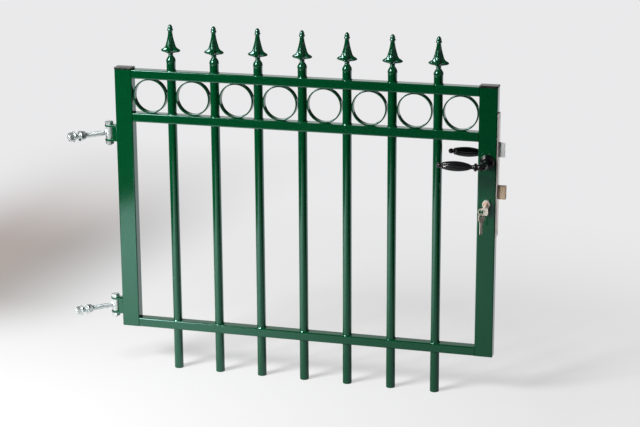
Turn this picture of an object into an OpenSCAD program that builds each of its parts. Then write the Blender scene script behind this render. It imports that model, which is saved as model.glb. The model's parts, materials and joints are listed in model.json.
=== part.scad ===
// Decorative garden gate: a single welded leaf of square-edged tube with round
// spear-topped bars and a frieze of rings, hung on two adjustable eyebolts,
// with a mortise lock, lever handles and a key.
// X runs along the leaf to its lock side, Y from front to back, Z up.

/* [Frame] */
// Width of the leaf over both stiles
leaf_w = 860; // [760:1:1100]
// Height of the welded frame
leaf_h = 600; // [560:1:900]
// Width of a stile seen from the front
stile_w = 40; // [38:1:60]
// Depth of stiles and rails, front to back
frame_d = 25; // [24:1:40]
// Height of a rail
rail_h = 20; // [16:1:30]
// Rounding of the tubes' long edges
corner_r = 2.5; // [1:0.5:4]
// Thickness of the plastic cap on a stile
cap_t = 4; // [2:0.5:8]
// How far the cap stands over the stile all round
cap_lip = 0.8; // [0:0.1:3]

/* [Bars and rings] */
// Number of vertical bars
bar_count = 7; // [5:1:8]
// Diameter of a bar
bar_d = 20; // [12:1:21]
// Length of a bar below the bottom rail
bar_foot = 95; // [20:1:200]
// Length of a bar above the top rail
bar_head = 17; // [8:1:60]
// Free gap between a ring and the bar beside it
ring_gap = 1; // [0.2:0.1:5]
// Thickness of the flat bar that a ring is rolled from
ring_t = 3; // [2:0.5:6]
// Depth of a ring, front to back
ring_d = 15; // [8:1:20]

/* [Finials] */
// Height of a finial above its bar
finial_h = 86; // [60:1:120]
// Reach of a finial's leaves from its axis
finial_r = 21.5; // [16:0.5:26]
// Radius of a finial's neck
finial_neck_r = 5.2; // [4:0.1:7]

/* [Hinges] */
// Height of the lower hinge's middle above the frame's foot
lower_hinge_z = 45; // [35:1:150]
// Height of the upper hinge's middle above the frame's foot
upper_hinge_z = 452; // [300:1:470]
// Distance of the hinge pins' axis from the stile
pin_offset = 21; // [20:1:40]
// Diameter of a hinge pin
pin_d = 10; // [8:1:12]
// Outer diameter of the eye on a rod
eye_d = 17; // [17:0.5:19]
// Height of the eye on a rod
eye_h = 28; // [20:1:34]
// Thickness of a bracket's lugs
lug_t = 4; // [3:0.5:8]
// Thickness of a bracket's web, from the stile outwards
web_t = 10; // [4:0.5:10]
// Width of a bracket, front to back
lug_w = 20; // [18:1:24]
// Diameter of a threaded rod
rod_d = 12; // [8:1:14]
// Length of a rod from the pins' axis
rod_len = 100; // [99:1:200]
// Angle of the rods to the leaf at rest
rod_angle = 45; // [0:1:80]
// Distance from the pins' axis to the first nut on a rod
nut_start = 60; // [40:1:61]
// Gap left between the washers for the post's wall
post_gap = 12.5; // [3:0.5:12.5]
// Thickness of a rod's nut
rod_nut_t = 10; // [6:0.5:11]
// Width across the flats of a rod's nut
rod_nut_af = 18; // [16:1:22]
// Thickness of a rod's washer
washer_t = 2.5; // [1:0.5:3]
// Outer diameter of a rod's washer
washer_d = 24; // [20:1:37]
// Width across the flats of a pin's head and nut
pin_head_af = 17; // [15:1:19]
// Thickness of a pin's head and nut
pin_head_t = 8; // [5:0.5:10]

/* [Lock] */
// Distance from the leaf's lock edge to the spindle
backset = 19; // [18:0.5:20]
// Height of the spindle above the frame's foot
spindle_z = 440; // [380:1:445]
// Distance between spindle and cylinder
lock_centres = 92; // [85:1:95]
// Width of the lock case, from the face plate inwards
case_w = 34; // [33:0.5:36]
// Thickness of the lock case
case_t = 15; // [13:0.5:18]
// Height of the lock case
case_h = 220; // [200:1:240]
// Length of the face plate
plate_h = 271; // [250:1:290]
// Width of the face plate
plate_w = 22; // [20:0.5:24]
// Thickness of the face plate
plate_t = 3; // [2:0.5:4]
// Height of the face plate's top above the spindle
plate_above = 105; // [95:1:110]
// Height of the latch bolt
latch_h = 31; // [20:1:32]
// Height of the latch bolt's lower edge above the spindle
latch_above = 10; // [9:0.5:14]
// How far the latch bolt stands out of the face plate
latch_out = 14; // [8:0.5:18]
// Thickness of both bolts
bolt_t = 11; // [8:0.5:12]
// Height of the deadbolt
deadbolt_h = 29; // [20:1:32]
// Height of the deadbolt's lower edge above the cylinder's axis
deadbolt_above = 9.5; // [9.5:0.5:14]
// How far the thrown deadbolt stands out of the face plate
deadbolt_out = 17; // [10:0.5:20]
// Distance that the cylinder stands out of the leaf on each side
cylinder_proud = 9; // [3:0.5:15]

/* [Handle] */
// Distance of a lever's axis from the leaf's face
lever_out = 52; // [45:1:60]
// Length of a lever from the spindle to the middle of its ball
lever_len = 94; // [80:1:110]
// Radius of a lever's grip where it is thickest
grip_r = 10.8; // [8:0.1:12]
// Radius of the ball on a lever's end
ball_r = 5.8; // [4:0.1:7]
// Radius of the neck that carries a lever
neck_r = 7.5; // [6.5:0.1:9]
// Radius of a rosette
rosette_r = 16; // [13:0.5:19]
// Thickness of a rosette
rosette_t = 10; // [6:0.5:12]
// Side of the square spindle
spindle_s = 8; // [7:0.5:8]

/* [Keys] */
// Thickness of a key
key_t = 2.2; // [1.6:0.1:2.6]
// Width of a key's shank
key_w = 8; // [6:0.5:8.5]
// Width of a key's bow
bow_w = 16; // [14:0.5:20]
// Length of a key's bow
bow_l = 20; // [18:0.5:24]
// Width of the rim around the hole in a bow
bow_rim = 2.5; // [2:0.1:3]
// Length of the spare key below its bow
shank_l = 27; // [20:1:35]
// Distance from the cylinder's face to the inserted key's bow
key_out = 16; // [5:1:18]
// Angle that the inserted key is turned by from the vertical
key_turned = 45; // [30:1:60]
// Radius of the key ring, to the middle of its wire
key_ring_r = 7; // [6.5:0.1:10]
// Thickness of the key ring's wire
key_ring_wire = 1.6; // [1:0.1:1.8]
// Angle that the spare key hangs turned by, seen from above
spare_turned = 45; // [30:1:50]

/* [Clearances] */
// Radial running clearance of a pin or plug in its hole
run_gap = 0.05; // [0.02:0.01:0.08]
// Clearance around sliding bolts and beside the hinge eyes
slide_gap = 0.3; // [0.2:0.05:0.5]
// Clearance around pieces that are put into a cut-out
fit_gap = 0.5; // [0.2:0.1:1]

/* [Hidden] */
$fn = 64;
big = 1000;                   // longer than any cut
skin = 0.01;                  // how far a cut runs past a face

mid_y = frame_d / 2;
inner_w = leaf_w - 2 * stile_w;
bay_w = (inner_w - bar_count * bar_d) / (bar_count + 1);
bar_pitch = bay_w + bar_d;
bar_x = [for (i = [0:bar_count - 1]) stile_w + bay_w + bar_d / 2 + i * bar_pitch];
ring_od = bay_w - 2 * ring_gap;
top_rail_z = leaf_h - rail_h;
middle_rail_z = top_rail_z - ring_od - rail_h;
bar_top_z = leaf_h + bar_head;

pin_at = [-pin_offset, mid_y, 0];
hinge_z = [lower_hinge_z, upper_hinge_z];
lug_inner_z = eye_h / 2 + slide_gap;
lug_outer_z = lug_inner_z + lug_t;
nut_pitch = rod_nut_t + 2 * washer_t + post_gap;
seat_at = nut_start + rod_nut_t + washer_t;
origin_at = pin_at - seat_at * [cos(rod_angle), sin(rod_angle), 0] + [0, 0, lower_hinge_z];

spindle_x = leaf_w - backset;
cylinder_z = spindle_z - lock_centres;
cylinder_r = 8.5;             // a profile cylinder's round part
cylinder_web = 10;            // width of its lower part
cylinder_h = 33;              // its whole height
plug_r = 6.5;
plug_l = 14;
case_z = spindle_z + plate_above - (plate_h + case_h) / 2;
latch_z = spindle_z + latch_above;
deadbolt_z = cylinder_z + deadbolt_above;
bolt_tail = 14;               // length of a bolt inside the face plate
latch_travel = latch_out - 1;
hub_r = 9;                    // hole for the spindle's hub
spindle_in = 15;              // how far the spindle goes into a lever's neck
neck_start = 0.5;             // a neck's distance from the leaf's face
key_hole_w = bow_w - 2 * bow_rim;
key_hole_l = bow_l - 2 * bow_rim;
key_front_y = -cylinder_proud - key_out;
bow_y = key_front_y - bow_l / 2;
wire_r = key_ring_wire / 2;
touch = 0.05;                 // gap between the ring and the inserted key's rim
spare_touch = 0.5;            // the same at the spare key, past the ring's bend

// the corner of the inserted key's rim that the ring hangs on
rim_s = bow_w / 2 - bow_rim / 2;
rim_corner = [
    -rim_s * sin(key_turned) + bow_rim / 2 * sin(key_turned) - key_t / 2 * cos(key_turned),
    -rim_s * cos(key_turned) + bow_rim / 2 * cos(key_turned) + key_t / 2 * sin(key_turned)
];
ring_at = [
    spindle_x + rim_corner[0],
    bow_y,
    cylinder_z + rim_corner[1] + touch + wire_r - key_ring_r
];
spare_hole_z = ring_at[2] - key_ring_r + wire_r + spare_touch - key_hole_l / 2;

// moves a piece drawn in the leaf's frame, whose zero is the hinge stile's
// front bottom corner, to the part's frame, whose zero is the post seat
module placed() {
    translate(-origin_at) children();
}

// ---- shared shapes ----

// rectangle with rounded corners, from [0, 0] to size
module round_rect(size, r) {
    translate([r, 0]) square([size[0] - 2 * r, size[1]]);
    translate([0, r]) square([size[0], size[1] - 2 * r]);
    for (x = [r, size[0] - r], y = [r, size[1] - r]) translate([x, y]) circle(r);
}

// slot-shaped outline with round ends, centred, its long way along Y
module stadium(w, l) {
    square([w, l - w], center = true);
    for (s = [-1, 1]) translate([0, s * (l - w) / 2]) circle(w / 2);
}

module hex(af, h) {
    cylinder(r = af / 2 / cos(30), h = h, $fn = 6);
}

// turns a shape's Z axis to point forward, towards -Y
module face_front() {
    rotate([90, 0, 0]) children();
}

// outline of a profile cylinder, grown by gap all round
module profile_outline(gap = 0) {
    circle(cylinder_r + gap);
    drop = cylinder_h - cylinder_r - cylinder_web / 2;
    translate([-cylinder_web / 2 - gap, -drop]) square([cylinder_web + 2 * gap, drop]);
    translate([0, -drop]) circle(cylinder_web / 2 + gap);
}

// ---- welded frame ----

module tube_stile() {
    linear_extrude(leaf_h) round_rect([stile_w, frame_d], corner_r);
}

module hinge_stile() {
    color("darkgreen") placed() tube_stile();
}

// lock side: pocket for the case, holes for spindle and cylinder
module lock_stile() {
    color("darkgreen") placed() difference() {
        translate([leaf_w - stile_w, 0, 0]) tube_stile();
        translate([leaf_w - case_w - fit_gap, mid_y - case_t / 2 - fit_gap, case_z - fit_gap])
            cube([big, case_t + 2 * fit_gap, case_h + 2 * fit_gap]);
        translate([spindle_x, big / 2, spindle_z]) face_front() cylinder(r = hub_r, h = big);
        translate([spindle_x, big / 2, cylinder_z]) face_front()
            linear_extrude(big) profile_outline(fit_gap);
    }
}

// horizontal tube between the stiles, drilled for the bars
module rail(z) {
    color("darkgreen") placed() difference() {
        translate([stile_w, 0, z]) rotate([90, 0, 90])
            linear_extrude(inner_w) round_rect([frame_d, rail_h], corner_r);
        for (x = bar_x) translate([x, mid_y, z - skin]) cylinder(d = bar_d, h = rail_h + 2 * skin);
    }
}

module bar(i) {
    color("darkgreen") placed()
        translate([bar_x[i - 1], mid_y, -bar_foot]) cylinder(d = bar_d, h = bar_top_z + bar_foot);
}

// rings between the top and the middle rail, one to a bay
module rings() {
    color("darkgreen") placed()
        for (i = [0:bar_count]) translate([
            i == 0 ? stile_w + bay_w / 2 : bar_x[i - 1] + bar_pitch / 2,
            mid_y + ring_d / 2,
            top_rail_z - ring_od / 2
        ]) face_front() difference() {
            cylinder(d = ring_od, h = ring_d);
            translate([0, 0, -skin]) cylinder(d = ring_od - 2 * ring_t, h = ring_d + 2 * skin);
        }
}

module stile_cap(x) {
    color("black") placed() translate([x - cap_lip, -cap_lip, leaf_h])
        linear_extrude(cap_t)
            round_rect([stile_w + 2 * cap_lip, frame_d + 2 * cap_lip], corner_r + cap_lip);
}

// ---- finials ----

// spear: shoulder, neck, four curled petals, slender body, collar and tip
shoulder_proud = 0.8;
shoulder_r = bar_d / 2 + shoulder_proud;
petal_z = 0.28 * finial_h;    // underside of the petals
petal_t = 6.5;                // height of their curled edge
petal_root_r = finial_r - 0.6 * petal_t;
body_r = 5;                   // radius of the body under the collar
body_flare = 1.8;             // how much more it is at the petals
collar_r = body_r + 0.9;
collar_z = 0.865 * finial_h;
collar_t = 3.5;
tip_r = 4.2;
finial_outline = [
    [0, 0], [bar_d / 2, 0], [bar_d / 2, 0.035 * finial_h],
    [shoulder_r, 0.05 * finial_h], [shoulder_r, 0.08 * finial_h],
    [1.2 * finial_neck_r, 0.21 * finial_h], [finial_neck_r, 0.24 * finial_h],
    [1.2 * finial_neck_r, petal_z],
    [finial_r - 0.8 * petal_t, petal_z + 0.2 * petal_t], [finial_r - 0.3 * petal_t, petal_z],
    [finial_r, petal_z + 0.2 * petal_t], [finial_r - 0.05 * petal_t, petal_z + 0.55 * petal_t],
    for (t = [0:8]) [
        body_r + body_flare * (1 - t / 8)
            + (petal_root_r - body_r - body_flare) * pow(1 - t / 8, 5.5),
        petal_z + petal_t + (collar_z - collar_t - petal_z - petal_t) * t / 8
    ],
    [collar_r, collar_z], [collar_r, collar_z + 0.6 * collar_t],
    [0.8 * collar_r, collar_z + collar_t],
    [tip_r, 0.96 * finial_h], [0.6 * tip_r, 0.99 * finial_h], [0, finial_h]
];

// the petals part where four slanted grooves run down the body
module finial(i) {
    groove_r = 0.42 * finial_r;
    groove_out = 1.16 * finial_r;
    groove_slant = 18;
    color("darkgreen") placed() translate([bar_x[i - 1], mid_y, bar_top_z]) difference() {
        rotate_extrude() polygon(finial_outline);
        for (a = [45:90:315]) rotate(a) translate([groove_out, 0, petal_z - groove_r / 4])
            rotate([0, -groove_slant, 0]) cylinder(r = groove_r, h = 0.5 * finial_h);
    }
}

// ---- hinges ----

// welded clevis: a web on the stile and two round-ended lugs
module hinge_bracket(z) {
    color("darkgreen") placed() translate([0, 0, z]) difference() {
        union() {
            translate([-web_t, mid_y - lug_w / 2, -lug_outer_z]) cube([web_t, lug_w, 2 * lug_outer_z]);
            for (low = [-lug_outer_z, lug_inner_z]) translate([0, 0, low]) {
                translate([-pin_offset, mid_y - lug_w / 2, 0]) cube([pin_offset, lug_w, lug_t]);
                translate(pin_at) cylinder(d = lug_w, h = lug_t);
            }
        }
        translate(pin_at - [0, 0, lug_outer_z + skin]) cylinder(d = pin_d, h = 2 * (lug_outer_z + skin));
    }
}

// bolts that the eyes turn on, heads up
module hinge_pins() {
    tail = pin_head_t + 3;
    color("silver") placed() for (z = hinge_z) translate(pin_at + [0, 0, z]) {
        translate([0, 0, -lug_outer_z - tail]) cylinder(d = pin_d, h = 2 * lug_outer_z + tail);
        translate([0, 0, lug_outer_z]) hex(pin_head_af, pin_head_t);
    }
}

module hinge_pin_nuts() {
    color("silver") placed() for (z = hinge_z)
        translate(pin_at + [0, 0, z - lug_outer_z - pin_head_t]) difference() {
            hex(pin_head_af, pin_head_t);
            translate([0, 0, -skin]) cylinder(d = pin_d, h = pin_head_t + 2 * skin);
        }
}

// turns a shape's Z axis outwards along the rod, from the pin's axis
module along_rod(z) {
    translate(pin_at + [0, 0, z]) rotate(rod_angle) rotate([0, -90, 0]) children();
}

module eyebolt(z) {
    color("silver") placed() difference() {
        union() {
            translate(pin_at + [0, 0, z - eye_h / 2]) cylinder(d = eye_d, h = eye_h);
            along_rod(z) cylinder(d = rod_d, h = rod_len);
        }
        translate(pin_at + [0, 0, z - eye_h / 2 - skin])
            cylinder(r = pin_d / 2 + run_gap, h = eye_h + 2 * skin);
    }
}

module rod_nuts() {
    color("silver") placed() for (z = hinge_z, at = [nut_start, nut_start + nut_pitch])
        along_rod(z) translate([0, 0, at]) difference() {
            hex(rod_nut_af, rod_nut_t);
            translate([0, 0, -skin]) cylinder(d = rod_d, h = rod_nut_t + 2 * skin);
        }
}

module rod_washers() {
    color("silver") placed() for (z = hinge_z, at = [seat_at - washer_t, seat_at + post_gap])
        along_rod(z) translate([0, 0, at]) difference() {
            cylinder(d = washer_d, h = washer_t);
            translate([0, 0, -skin]) cylinder(d = rod_d, h = washer_t + 2 * skin);
        }
}

// ---- lock ----

// space that a bolt slides in, from x to beyond the face plate
module bolt_space(x, z, h) {
    translate([x, mid_y - bolt_t / 2 - slide_gap, z - slide_gap])
        cube([big, bolt_t + 2 * slide_gap, h + 2 * slide_gap]);
}

module lock_case() {
    case_x = leaf_w - case_w;
    color("gray") placed() difference() {
        translate([case_x, mid_y - case_t / 2, case_z]) cube([case_w, case_t, case_h]);
        bolt_space(leaf_w - bolt_tail - latch_travel - 2, latch_z, latch_h);
        bolt_space(leaf_w - bolt_tail - deadbolt_out - 2, deadbolt_z, deadbolt_h);
        translate([spindle_x, big / 2, spindle_z]) face_front() cylinder(r = hub_r, h = big);
        translate([spindle_x, big / 2, cylinder_z]) face_front() linear_extrude(big) profile_outline();
    }
}

module lock_face_plate() {
    color("silver") placed() difference() {
        translate([leaf_w, mid_y - plate_w / 2, spindle_z + plate_above - plate_h])
            cube([plate_t, plate_w, plate_h]);
        bolt_space(leaf_w - skin, latch_z, latch_h);
        bolt_space(leaf_w - skin, deadbolt_z, deadbolt_h);
    }
}

// latch with its slope at the back
module latch_bolt() {
    reach = plate_t + latch_out;
    color("silver") placed() translate([leaf_w, mid_y, latch_z]) linear_extrude(latch_h)
        polygon([
            [-bolt_tail, -bolt_t / 2], [reach, -bolt_t / 2], [reach, 1 - bolt_t / 2],
            [plate_t + 2, bolt_t / 2], [-bolt_tail, bolt_t / 2]
        ]);
}

module deadbolt() {
    color("peru") placed() translate([leaf_w - bolt_tail, mid_y - bolt_t / 2, deadbolt_z])
        cube([bolt_tail + plate_t + deadbolt_out, bolt_t, deadbolt_h]);
}

// ---- handles ----

// runs a shape drawn on the front face at the spindle, Z outwards, on a side
module on_side(side, x = spindle_x, z = spindle_z) {
    translate([x, mid_y, z]) mirror([0, side == "back" ? 1 : 0, 0])
        translate([0, -mid_y, 0]) face_front() children();
}

module rosette(side) {
    color("black") placed() on_side(side) rotate_extrude() polygon([
        [neck_r + slide_gap, 0], [rosette_r, 0], [rosette_r, 0.3 * rosette_t],
        [rosette_r - 1.5, 0.45 * rosette_t], [rosette_r - 2.5, 0.8 * rosette_t],
        [rosette_r - 5, rosette_t], [neck_r + slide_gap, rosette_t]
    ]);
}

// turned outline of a lever from its elbow to its ball, as [radius, distance]
grip_from = 0.29 * lever_len;
grip_to = 0.915 * lever_len;
lever_outline = [
    [0, 0], [neck_r - 1, 0], [neck_r - 1.5, 0.15 * lever_len],
    [neck_r + 1, 0.17 * lever_len], [neck_r + 1, 0.21 * lever_len],
    [neck_r - 3, 0.23 * lever_len], [neck_r - 3, grip_from],
    for (t = [1:11]) [
        neck_r - 3 + (grip_r - neck_r + 3) * pow(sin(180 * pow(t / 12, 0.85)), 0.8),
        grip_from + (grip_to - grip_from) * t / 12
    ],
    [neck_r - 2.5, grip_to], [neck_r - 1.5, grip_to + 1], [neck_r - 2, grip_to + 3],
    [0, grip_to + 3]
];

module lever(side) {
    color("black") placed() on_side(side) difference() {
        union() {
            translate([0, 0, neck_start]) cylinder(r = neck_r, h = lever_out - neck_start);
            translate([0, 0, lever_out]) {
                sphere(neck_r);
                rotate([0, -90, 0]) {
                    rotate_extrude() polygon(lever_outline);
                    translate([0, 0, lever_len]) sphere(ball_r);
                }
            }
        }
        translate([-spindle_s / 2, -spindle_s / 2, 0]) cube([spindle_s, spindle_s, spindle_in]);
    }
}

module spindle() {
    color("silver") placed()
        translate([spindle_x - spindle_s / 2, -spindle_in, spindle_z - spindle_s / 2])
            cube([spindle_s, frame_d + 2 * spindle_in, spindle_s]);
}

// ---- cylinder and keys ----

cylinder_l = frame_d + 2 * cylinder_proud;

module lock_cylinder() {
    color("silver") placed() translate([spindle_x, -cylinder_proud, cylinder_z]) difference() {
        translate([0, cylinder_l, 0]) face_front() linear_extrude(cylinder_l) profile_outline();
        translate([0, plug_l + slide_gap, 0]) face_front()
            cylinder(r = plug_r + run_gap, h = plug_l + slide_gap + skin);
    }
}

// keyway's section is turned with the key
module key_slot(gap, from_y, to_y) {
    rotate([0, key_turned, 0]) translate([-key_t / 2 - gap, from_y, -key_w / 2 - gap])
        cube([key_t + 2 * gap, to_y - from_y, key_w + 2 * gap]);
}

module cylinder_plug() {
    color("peru") placed() translate([spindle_x, -cylinder_proud, cylinder_z]) difference() {
        translate([0, plug_l, 0]) face_front() cylinder(r = plug_r, h = plug_l);
        key_slot(0.1, -skin, plug_l - 2);
    }
}

// bow of a key around its hole, lying in XZ, with the shank towards -Z
module key_bow() {
    translate([0, key_t / 2, 0]) face_front() linear_extrude(key_t) difference() {
        stadium(bow_w, bow_l);
        stadium(key_hole_w, key_hole_l);
    }
}

module inserted_key() {
    color("silver") placed() translate([spindle_x, 0, cylinder_z]) {
        key_slot(0, key_front_y - bow_rim / 2, -cylinder_proud + plug_l - 2.5);
        translate([0, bow_y, 0]) rotate([0, key_turned, 0]) rotate([-90, 0, 0]) rotate(90) key_bow();
    }
}

module key_ring() {
    color("silver") placed() translate(ring_at) face_front()
        rotate_extrude() translate([key_ring_r, 0]) circle(wire_r);
}

// hangs in the ring by its bow
module spare_key() {
    color("silver") placed() translate([ring_at[0], ring_at[1], spare_hole_z]) rotate(spare_turned) {
        key_bow();
        translate([-key_w / 2, -key_t / 2, -bow_l / 2 - shank_l])
            cube([key_w, key_t, shank_l + bow_rim / 2]);
    }
}

hinge_stile();
lock_stile();
rail(top_rail_z);  // top_rail
rail(middle_rail_z);  // middle_rail
rail(0);  // bottom_rail
for (i = [1:bar_count]) {
    bar(i);
    finial(i);
}
rings();
stile_cap(0);  // hinge_stile_cap
stile_cap(leaf_w - stile_w);  // lock_stile_cap
hinge_bracket(lower_hinge_z);  // lower_hinge_bracket
hinge_bracket(upper_hinge_z);  // upper_hinge_bracket
hinge_pins();
hinge_pin_nuts();
eyebolt(lower_hinge_z);  // lower_eyebolt
eyebolt(upper_hinge_z);  // upper_eyebolt
rod_nuts();
rod_washers();
lock_case();
lock_face_plate();
latch_bolt();
deadbolt();
rosette("front");  // front_rosette
rosette("back");  // back_rosette
lever("front");  // front_lever
lever("back");  // back_lever
spindle();
lock_cylinder();
cylinder_plug();
inserted_key();
key_ring();
spare_key();
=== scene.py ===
import json
import math

import bmesh
import bpy
import numpy as np
from mathutils import Matrix, Vector

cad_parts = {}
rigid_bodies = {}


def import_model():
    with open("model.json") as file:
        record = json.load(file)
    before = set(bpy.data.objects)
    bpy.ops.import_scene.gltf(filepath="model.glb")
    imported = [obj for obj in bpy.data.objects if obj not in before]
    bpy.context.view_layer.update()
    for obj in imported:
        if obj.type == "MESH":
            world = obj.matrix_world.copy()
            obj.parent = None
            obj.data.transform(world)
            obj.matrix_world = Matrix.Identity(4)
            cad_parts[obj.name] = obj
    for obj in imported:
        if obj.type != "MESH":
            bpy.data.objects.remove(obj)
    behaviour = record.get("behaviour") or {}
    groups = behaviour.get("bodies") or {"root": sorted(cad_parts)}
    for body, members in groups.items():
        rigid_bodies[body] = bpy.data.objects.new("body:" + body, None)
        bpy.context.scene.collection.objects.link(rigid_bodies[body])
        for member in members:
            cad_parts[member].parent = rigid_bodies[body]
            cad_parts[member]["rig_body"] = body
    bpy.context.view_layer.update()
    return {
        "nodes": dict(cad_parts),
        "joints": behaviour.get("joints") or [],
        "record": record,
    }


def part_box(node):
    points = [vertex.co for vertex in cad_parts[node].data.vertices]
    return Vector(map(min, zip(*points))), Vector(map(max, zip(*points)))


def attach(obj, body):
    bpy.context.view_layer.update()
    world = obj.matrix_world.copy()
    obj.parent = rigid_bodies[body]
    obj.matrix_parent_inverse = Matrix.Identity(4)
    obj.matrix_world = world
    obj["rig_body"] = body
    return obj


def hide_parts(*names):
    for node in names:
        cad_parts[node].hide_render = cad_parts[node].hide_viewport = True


# Looks of the garden gate: glossy powder coat on welded tube, cast spear tops,
# zinc-plated hinge hardware, black lever handles and a nickel lock.
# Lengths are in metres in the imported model's frame, small ones as so many MM.
# The leaf's front faces -Y, and its hinge side is at the low end of X.

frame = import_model()

MM = 0.001
TAU = 2 * math.pi
X, Y, Z = Vector((1, 0, 0)), Vector((0, 1, 0)), Vector((0, 0, 1))
BARS = sorted(n for n in frame["nodes"] if n.startswith("bar_"))
STILES = ["hinge_stile", "lock_stile"]
RAILS = ["top_rail", "middle_rail", "bottom_rail"]


# ---- measures

def centre(node):
    low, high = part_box(node)
    return (low + high) / 2


def size(node):
    low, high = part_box(node)
    return high - low


def to(x, y, z):
    return Matrix.Translation((x, y, z))


def turn(degrees, axis):
    return Matrix.Rotation(math.radians(degrees), 4, axis)


def standing(node):
    """Place at the middle of a node's underside."""
    at = centre(node)
    return to(at.x, at.y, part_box(node)[0].z)


ALONG_Y = turn(90, "X")        # lays a shape's Z axis along Y
STILE_LOW, STILE_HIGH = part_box("hinge_stile")
LOCK_LOW, LOCK_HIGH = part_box("lock_stile")
LEAF_CENTRE = (STILE_LOW + LOCK_HIGH) / 2
FRONT_Y = STILE_LOW.y
MID_Y = LEAF_CENTRE.y
TUBE_R = 2.5 * MM              # rounding of the tubes' long edges


# ---- meshes

def new_object(name, data):
    made = bpy.data.objects.new(name, data)
    bpy.context.scene.collection.objects.link(made)
    return made


def new_mesh(name, verts, faces):
    mesh = bpy.data.meshes.new(name)
    mesh.from_pydata([tuple(v) for v in verts], [], faces)
    return mesh


def riding(name, mesh, material, body, replaces=(), sharp=40):
    """Object that rides on a body; edges sharper than the angle stay sharp."""
    mesh.shade_smooth()
    mesh.set_sharp_from_angle(angle=math.radians(sharp))
    mesh.materials.append(material)
    piece = new_object(name, mesh)
    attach(piece, body)
    for node in replaces:
        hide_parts(node)
    return piece


class Shape:
    """Vertices and faces that grow as parts are added."""

    def __init__(self):
        self.verts, self.faces = [], []

    def add(self, part, matrix=Matrix.Identity(4)):
        verts, faces = part
        start = len(self.verts)
        self.verts += [matrix @ Vector(v) for v in verts]
        self.faces += [tuple(start + i for i in face) for face in faces]
        return self

    def piece(self, name, *args, **kwargs):
        """The shape as a new object that rides on a body."""
        mesh = new_mesh(name, self.verts, self.faces)
        mesh.validate()
        mesh.update()
        return riding(name, mesh, *args, **kwargs)


def skin(loops, closed=False):
    """Faces between rings of equally many points; closed joins the last to the first."""
    count = len(loops[0])
    verts = [p for loop in loops for p in loop]
    faces = []
    for k in range(len(loops) if closed else len(loops) - 1):
        a = k * count
        b = (k + 1) % len(loops) * count
        for i in range(count):
            j = (i + 1) % count
            faces.append((a + i, a + j, b + j, b + i))
    if not closed:
        faces.append(tuple(reversed(range(count))))
        faces.append(tuple(range((len(loops) - 1) * count, len(loops) * count)))
    return verts, faces


def around(at_angle, steps):
    """What a function of the angle gives at so many equal steps of a full turn."""
    return [at_angle(TAU * k / steps) for k in range(steps)]


def polar(r, angle, z):
    return r * math.cos(angle), r * math.sin(angle), z


def lathe(profile, steps, closed=False):
    """Solid of revolution about Z from (radius, z) points."""
    loops = [around(lambda angle: polar(r, angle, z), steps) for r, z in profile]
    return skin(loops, closed=closed)


def about_y(section, r, angle, y=0.0):
    """A section's points about a middle that is at a radius and an angle about Y."""
    return [((r + a) * math.cos(angle), y + b, (r + a) * math.sin(angle)) for a, b in section]


def and_back(rows, top=0.0):
    """Pairs of a size and a height, then the same in reverse, mirrored up to the top."""
    return rows + [(a, top - height) for a, height in reversed(rows)]


def arc(r, start, end, steps, drop=0.0):
    """Points of a plane arc whose centre is at (0, -drop)."""
    angles = [start + (end - start) * k / steps for k in range(steps + 1)]
    return [(r * math.cos(a), -drop + r * math.sin(a)) for a in angles]


def smooth_path(points, each):
    """Curve through the points, with so many steps between neighbours."""
    path = np.array(points, float)
    ends = np.vstack([2 * path[0] - path[1], path, 2 * path[-1] - path[-2]])
    out = []
    for k in range(1, len(ends) - 2):
        a, b, c, d = ends[k - 1:k + 3]
        for t in np.arange(each) / each:
            out.append(0.5 * (2 * b + (c - a) * t + (2 * a - 5 * b + 4 * c - d) * t ** 2
                              + (3 * b - a - 3 * c + d) * t ** 3))
    out.append(path[-1])
    return [tuple(p) for p in out]


def rounded_rect(w, h, r, steps=6, margin=0.3 * MM):
    """Rectangle about zero with round corners; extra points keep its flats flat."""
    points = []
    for k, (sx, sy) in enumerate([(1, 1), (-1, 1), (-1, -1), (1, -1)]):
        cx, cy = sx * (w / 2 - r), sy * (h / 2 - r)
        corner = []
        for i in range(steps + 1):
            angle = math.pi / 2 * (k + i / steps)
            corner.append((cx + r * math.cos(angle), cy + r * math.sin(angle)))
        ends = []
        for (x, y), quarters in [(corner[0], k - 1), (corner[-1], k + 2)]:
            angle = math.pi / 2 * quarters
            ends.append((x + margin * math.cos(angle), y + margin * math.sin(angle)))
        points += [ends[0]] + corner + [ends[1]]
    return points


def tube(low, high, axis, r=TUBE_R, edge=0.5 * MM):
    """Closed square-edged tube between two corners, along axis 'x' or 'z'."""
    span = high - low
    w, h, length, lie = span.x, span.y, span.z, Matrix.Identity(4)
    if axis == "x":
        w, h, length = span.y, span.z, span.x
        lie = turn(90, "Y") @ turn(90, "Z")
    end = length / 2
    loops = []
    for inset, z in and_back([(edge, -end), (0, edge - end), (0, 2 * edge - end)]):
        outline = rounded_rect(w - 2 * inset, h - 2 * inset, r - inset)
        loops.append([(x, y, z) for x, y in outline])
    verts, faces = skin(loops)
    place = Matrix.Translation((low + high) / 2) @ lie
    return [place @ Vector(v) for v in verts], faces


def softened(node, name, material, width):
    """Copy of a CAD node with its edges broken, which stands for the node."""
    source = frame["nodes"][node]
    bm = bmesh.new()
    bm.from_mesh(source.data)
    bmesh.ops.remove_doubles(bm, verts=bm.verts, dist=0.002 * MM)
    bmesh.ops.dissolve_limit(bm, angle_limit=math.radians(0.5), verts=bm.verts, edges=bm.edges)
    edges = [e for e in bm.edges if len(e.link_faces) == 2
             and e.calc_face_angle(0) > math.radians(35)]
    bmesh.ops.bevel(bm, geom=edges, offset=width, segments=2, profile=0.5,
                    affect="EDGES", clamp_overlap=True)
    bmesh.ops.recalc_face_normals(bm, faces=bm.faces)
    mesh = bpy.data.meshes.new(name)
    bm.to_mesh(mesh)
    bm.free()
    riding(name, mesh, material, source["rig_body"], [node], sharp=30)


# ---- materials

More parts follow.
